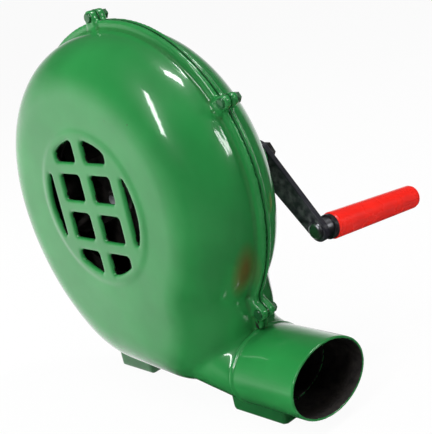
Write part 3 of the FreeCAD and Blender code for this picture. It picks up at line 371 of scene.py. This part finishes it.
# The gear plate and the spacer tubes: plain rolled steel, cut and drilled.
# They hold the gears in line inside the rear shell, and are a little stained by grease.
rolled_steel = metal("rolled_steel", (0.42, 0.42, 0.43, 1), (0.16, 0.14, 0.12, 1), 0.34, 0.000005)
for node in ("gear_plate", "crank_spacers", "idler_spacers", "fan_spacers"):
    dress(nodes[node], rolled_steel)

# The six bushes: turned bronze, pressed into the rear shell and the gear plate.
# Two carry each shaft, and they are dark with oil.
bronze = metal("turned_bronze", (0.55, 0.37, 0.16, 1), (0.22, 0.13, 0.06, 1), 0.3, 0.000004)
for shaft in ("crank", "idler", "fan"):
    for end in ("front", "rear"):
        dress(nodes[f"{shaft}_{end}_bush"], bronze)

# The two gear pairs: steel wheels and pinions with cut teeth, fixed on their shafts.
# They are bright on the teeth and greasy between them.
gear_steel = metal("gear_steel", (0.36, 0.36, 0.37, 1), (0.10, 0.09, 0.08, 1), 0.28, 0.000006)
for node in ("crank_wheel", "idler_pinion", "idler_wheel", "fan_pinion"):
    dress(nodes[node], gear_steel)

# The shafts, the handle pin and its collar: turned steel, left bare.
# The pin is riveted into the crank arm, and the collar sits on it before the grip.
turned_steel = metal("turned_steel", (0.40, 0.41, 0.44, 1), (0.17, 0.17, 0.18, 1), 0.25, 0.000004)
for node in ("crank_shaft", "idler_shaft", "fan_spindle", "handle_pin", "handle_collar"):
    dress(nodes[node], turned_steel)

# The impeller: sheet metal disc, ring and blades, riveted on a turned hub and held by a nut.
# It shows through the grille, dull and dark with soot.
soot, tree, shader, place = blank_material("sooty_sheet")
film = spread(tree, grain(tree, place, 0.016, 5.0, 0.6), 0.35, 0.7)
sheet_grey = blended(tree, film, (0.014, 0.012, 0.012, 1), (0.050, 0.044, 0.040, 1))
tree.links.new(sheet_grey, shader.inputs["Base Color"])
tree.links.new(raised(tree, film, 0.00006), shader.inputs["Normal"])
tree.links.new(spread(tree, film, 0.0, 1.0, 0.75, 0.5), shader.inputs["Roughness"])
shader.inputs["Metallic"].default_value = 0.5
for piece in ("disc", "ring", "blades", "hub", "washer", "nut"):
    dress(nodes["impeller_" + piece], soot)
dress(nodes["hub_rivets"], soot)

# The crank arm: a flat steel bar, tapered to the pin and painted satin black.
# The paint is rubbed grey along the bar's edges.
arm_black, tree, shader, place = blank_material("arm_black")
edge = tree.nodes.new("ShaderNodeNewGeometry").outputs["Pointiness"]
rubbed = spread(tree, edge, 0.52, 0.60, 0.0, 0.6)
patch = spread(tree, grain(tree, place, 0.006, 4.0), 0.4, 0.65)
cloud = spread(tree, grain(tree, place, 0.03, 3.0), 0.3, 0.7)
black = blended(tree, cloud, (0.010, 0.010, 0.014, 1), (0.022, 0.022, 0.030, 1))
black = blended(tree, maths(tree, "MULTIPLY", rubbed, patch), black, (0.20, 0.20, 0.21, 1))
tree.links.new(black, shader.inputs["Base Color"])
tree.links.new(raised(tree, grain(tree, place, 0.0016, 2.0), 0.00002), shader.inputs["Normal"])
tree.links.new(spread(tree, patch, 0.0, 1.0, 0.42, 0.3), shader.inputs["Roughness"])
dress(nodes["crank_arm"], arm_black)

# The ferrule: a smooth black ring round the pin, between the collar and the grip.
# It keeps the end of the wood from splitting, and is dull where the hand rubs it.
ferrule_black, tree, shader, place = blank_material("ferrule_black")
worn = spread(tree, grain(tree, place, 0.004, 4.0), 0.4, 0.7)
black = blended(tree, worn, (0.010, 0.010, 0.012, 1), (0.030, 0.028, 0.030, 1))
tree.links.new(black, shader.inputs["Base Color"])
tree.links.new(spread(tree, worn, 0.0, 1.0, 0.3, 0.5), shader.inputs["Roughness"])
tree.links.new(raised(tree, worn, 0.00002), shader.inputs["Normal"])
dress(nodes["handle_ferrule"], ferrule_black)

# The grip: a turned wooden handle under glossy red lacquer, which shows faint turning rings
# and is a little darker where hands have held it.
grip_red, tree, shader, place = blank_material("grip_red")
hand = spread(tree, grain(tree, place, 0.02, 4.0), 0.35, 0.7)
lacquer = blended(tree, hand, (0.86, 0.016, 0.010, 1), (0.95, 0.024, 0.015, 1))
tree.links.new(lacquer, shader.inputs["Base Color"])
ring_scale = (30.0, 900.0, 30.0)
rings = grain(tree, moved(tree, "MULTIPLY", place, ring_scale), 1.0)
tree.links.new(raised(tree, rings, 0.00004), shader.inputs["Normal"])
tree.links.new(spread(tree, hand, 0.0, 1.0, 0.34, 0.22), shader.inputs["Roughness"])
shader.inputs["Coat Weight"].default_value = 0.3
shader.inputs["Coat Roughness"].default_value = 0.12
shader.inputs["Specular IOR Level"].default_value = 0.3
dress(nodes["handle_grip"], grip_red)

# The floor: a wide pale sheet that keeps the object's shadow.
# What the camera, a gloss or a glass sees of it is lifted nearly to white.
floor_radius = 40
bpy.ops.mesh.primitive_circle_add(vertices=96, radius=floor_radius, fill_type="NGON")
floor = bpy.context.object
floor.name = "floor"
floor_lift = 0.95
pale_floor, tree, shader, place = blank_material("pale_floor")
pale = blended(tree, grain(tree, place, 0.4), (0.83, 0.83, 0.83, 1), (0.86, 0.86, 0.86, 1))
tree.links.new(pale, shader.inputs["Base Color"])
shader.inputs["Roughness"].default_value = 0.9
white = joined(tree, "ShaderNodeEmission", Color=(1, 1, 1, 1), Strength=1.0)
ray = tree.nodes.new("ShaderNodeLightPath").outputs
seen = maths(tree, "MAXIMUM", ray["Is Camera Ray"], ray["Is Glossy Ray"])
seen = maths(tree, "MAXIMUM", seen, ray["Is Transmission Ray"])
lift = maths(tree, "MULTIPLY", seen, floor_lift)
cover = joined(tree, "ShaderNodeMixShader", i0=lift, i1=shader.outputs[0], i2=white.outputs[0])
tree.links.new(cover.outputs[0], tree.nodes["Material Output"].inputs["Surface"])
dress(floor, pale_floor)

# The flag: a matt black net that lies and stands to the right of the object, thinner at its left edge.
# Only gloss sees it, as in a studio, so that the paint on that side stays deep.
# Its bearings run from the front, 0, past the outlet, 90, to the back.
flag_start, flag_end, flag_step = -54, 205, 6
flag_full = 12
flag_reach = 3
flag_lines = ((0.04, 0.0006), (flag_reach, 0.0006), (flag_reach, flag_reach))
flag = bpy.data.objects.new("flag", bpy.data.meshes.new("flag"))
scene.collection.objects.link(flag)
shape = bmesh.new()
rows = []
for turn in range(flag_start, flag_end, flag_step):
    across, ahead = math.sin(math.radians(turn)), -math.cos(math.radians(turn))
    rows.append([shape.verts.new((across * far, ahead * far, high)) for far, high in flag_lines])
for left, right in zip(rows, rows[1:]):
    for low in (0, 1):
        shape.faces.new((left[low], right[low], right[low + 1], left[low + 1]))
shape.to_mesh(flag.data)
shape.free()
flag_black, tree, shader, place = blank_material("flag_black")
cloth = blended(tree, grain(tree, place, 0.003, 3.0), (0.010, 0.010, 0.010, 1), (0.020, 0.020, 0.020, 1))
tree.links.new(cloth, shader.inputs["Base Color"])
shader.inputs["Roughness"].default_value = 1.0
shader.inputs["Specular IOR Level"].default_value = 0.0
split = joined(tree, "ShaderNodeSeparateXYZ", Vector=place).outputs
bearing = maths(tree, "ARCTAN2", split["X"], maths(tree, "MULTIPLY", split["Y"], -1.0))
thick = spread(tree, bearing, math.radians(flag_start + 2), math.radians(flag_full))
clear = tree.nodes.new("ShaderNodeBsdfTransparent")
net = joined(tree, "ShaderNodeMixShader", i0=thick, i1=clear.outputs[0], i2=shader.outputs[0])
tree.links.new(net.outputs[0], tree.nodes["Material Output"].inputs["Surface"])
dress(flag, flag_black)
flag.visible_camera = False
flag.visible_diffuse = False
flag.visible_shadow = False

# The room: pale at the horizon and darker overhead.
# Gloss that is turned up then shows deep green.
dark_from = 0.35
world = bpy.data.worlds.new("room")
scene.world = world
world.use_nodes = True
sky = world.node_tree
way = sky.nodes.new("ShaderNodeTexCoord").outputs["Generated"]
height = joined(sky, "ShaderNodeSeparateXYZ", Vector=way).outputs["Z"]
ramp = joined(sky, "ShaderNodeValToRGB", Fac=spread(sky, height, 0.0, 1.0))
ramp.color_ramp.elements[0].color = (0.85, 0.85, 0.85, 1)
ramp.color_ramp.elements[1].position = dark_from
ramp.color_ramp.elements[1].color = (0.07, 0.07, 0.07, 1)
back = sky.nodes["Background"]
sky.links.new(ramp.outputs["Color"], back.inputs["Color"])
back.inputs["Strength"].default_value = 1.0

# The lamps: pairs of narrow tubes, whose images make the bright streaks on the round shoulders,
# and two wide soft boxes that only fill. Each is given by its bearing, height angle, distance,
# width, length and glow.
middle = Vector((0.0, -0.03, 0.16))


def toward(azimuth, elevation):
    """The direction from the object to a lamp; azimuth 0 is in front of the grille, 90 at the outlet."""
    a, e = math.radians(azimuth), math.radians(elevation)
    return Vector((math.sin(a) * math.cos(e), -math.cos(a) * math.cos(e), math.sin(e)))


def lamp(name, azimuth, elevation, far, width, height, glow, gloss=True):
    """An area lamp that faces the object; glow is how bright its surface is."""
    data = bpy.data.lights.new(name, "AREA")
    data.shape = "RECTANGLE"
    data.size = width
    data.size_y = height
    data.energy = glow * math.pi * width * height
    obj = bpy.data.objects.new(name, data)
    scene.collection.objects.link(obj)
    obj.location = middle + toward(azimuth, elevation) * far
    obj.rotation_euler = toward(azimuth, elevation).to_track_quat("Z", "Y").to_euler()
    obj.visible_glossy = gloss


half_pair = 1.6
for side in (-half_pair, half_pair):
    lamp(f"front_tube_{side}", 20 + side, 42, 1.6, 0.08, 0.95, 22)
    lamp(f"back_tube_{side}", 149 + 2.4 * side, 62, 1.6, 0.12, 0.42, 24)
    lamp(f"right_tube_{side}", 124 + side, 20, 1.6, 0.05, 0.46, 20)
lamp("left_fill", -52, 13, 1.4, 0.9, 0.7, 9, gloss=False)
lamp("top_fill", 40, 70, 2.2, 1.6, 1.6, 3, gloss=False)

# The camera: where the photograph was taken from, found from the object's own edges.
# Its small shift is the photograph's framing.
lens = bpy.data.cameras.new("photo_camera")
lens.lens = 80.26
lens.sensor_width = 36.0
lens.sensor_fit = "AUTO"
lens.shift_x = 0.0064
lens.shift_y = 0.0049
lens.clip_end = 100.0
viewer = bpy.data.objects.new("photo_camera", lens)
scene.collection.objects.link(viewer)
viewer.location = (0.59752, -0.45327, 0.35452)
viewer.rotation_euler = [math.radians(angle) for angle in (72.8088, 12.2988, 47.0206)]
scene.camera = viewer

scene.view_settings.view_transform = "Standard"
